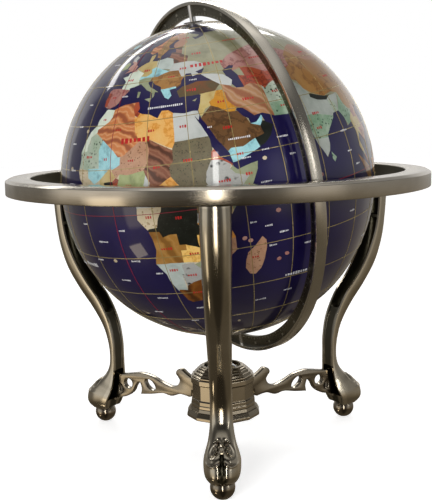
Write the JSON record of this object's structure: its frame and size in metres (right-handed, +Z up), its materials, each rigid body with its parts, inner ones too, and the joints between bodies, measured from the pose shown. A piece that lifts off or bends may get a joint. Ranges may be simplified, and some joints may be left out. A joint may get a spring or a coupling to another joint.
{
  "type": "desktop globe on stand",
  "caption": "Inlaid stone globe hung in a tilting meridian ring and a horizon ring on three cast cabriole legs, with a compass in the hub.",
  "frame": {"origin": "on the table, under the ball's centre", "axes": "+Z up, the front leg towards -Y, +X to the right"},
  "size_m": [0.444, 0.444, 0.4732],
  "materials": {
    "antique_nickel": "brushed antique nickel plate, warm grey with dark recesses",
    "dark_steel": "darkened steel",
    "chrome": "polished",
    "brass": "turned",
    "ocean_resin": "polished deep blue stone resin, inlaid with stones and gold wire",
    "dial_white": "printed card",
    "needle_red": "lacquer",
    "lens_glass": "clear domed lens"
  },
  "bodies": {
    "stand": {"ball_foot_front": "antique_nickel", "ball_foot_left": "antique_nickel", "ball_foot_right": "antique_nickel", "base_screw_front": "dark_steel", "base_screw_left": "dark_steel", "base_screw_right": "dark_steel", "compass_bowl": "brass", "compass_dial": "dial_white", "compass_lens": "lens_glass", "compass_pivot": "chrome", "foot_nut_front": "dark_steel", "foot_nut_left": "dark_steel", "foot_nut_right": "dark_steel", "horizon_ring": "antique_nickel", "hub_base": "antique_nickel", "hub_body": "antique_nickel", "hub_cap": "antique_nickel", "hub_screw_front": "dark_steel", "hub_screw_left": "dark_steel", "hub_screw_right": "dark_steel", "leg_front": "antique_nickel", "leg_left": "antique_nickel", "leg_right": "antique_nickel", "leg_screw_front": "dark_steel", "leg_screw_left": "dark_steel", "leg_screw_right": "dark_steel", "pivot_pin_front": "chrome", "pivot_pin_rear": "chrome", "pivot_spacer_front": "brass", "pivot_spacer_rear": "brass", "strut_front": "antique_nickel", "strut_left": "antique_nickel", "strut_right": "antique_nickel"},
    "meridian": {"axis_pin_north": "chrome", "axis_pin_south": "chrome", "axis_washer_north": "dark_steel", "axis_washer_south": "dark_steel", "meridian_ring": "antique_nickel"},
    "globe": {"globe_shell_north": "ocean_resin", "globe_shell_south": "ocean_resin", "joining_ring": "dark_steel", "pole_bush_north": "brass", "pole_bush_south": "brass"},
    "needle": {"compass_needle": "needle_red"}
  },
  "joints": [
    {"name": "meridian_swing", "type": "hinge", "parent": "stand", "child": "meridian", "pos_m": [0, 0, 0.288], "axis": [0.5, -0.866, 0], "continuous": true},
    {"name": "globe_spin", "type": "hinge", "parent": "meridian", "child": "globe", "pos_m": [0, 0, 0.288], "axis": [-0.128, -0.0739, 0.989], "continuous": true},
    {"name": "needle_turn", "type": "hinge", "parent": "stand", "child": "needle", "pos_m": [0, 0, 0.0769], "axis": [0, 0, 1], "continuous": true}
  ]
}
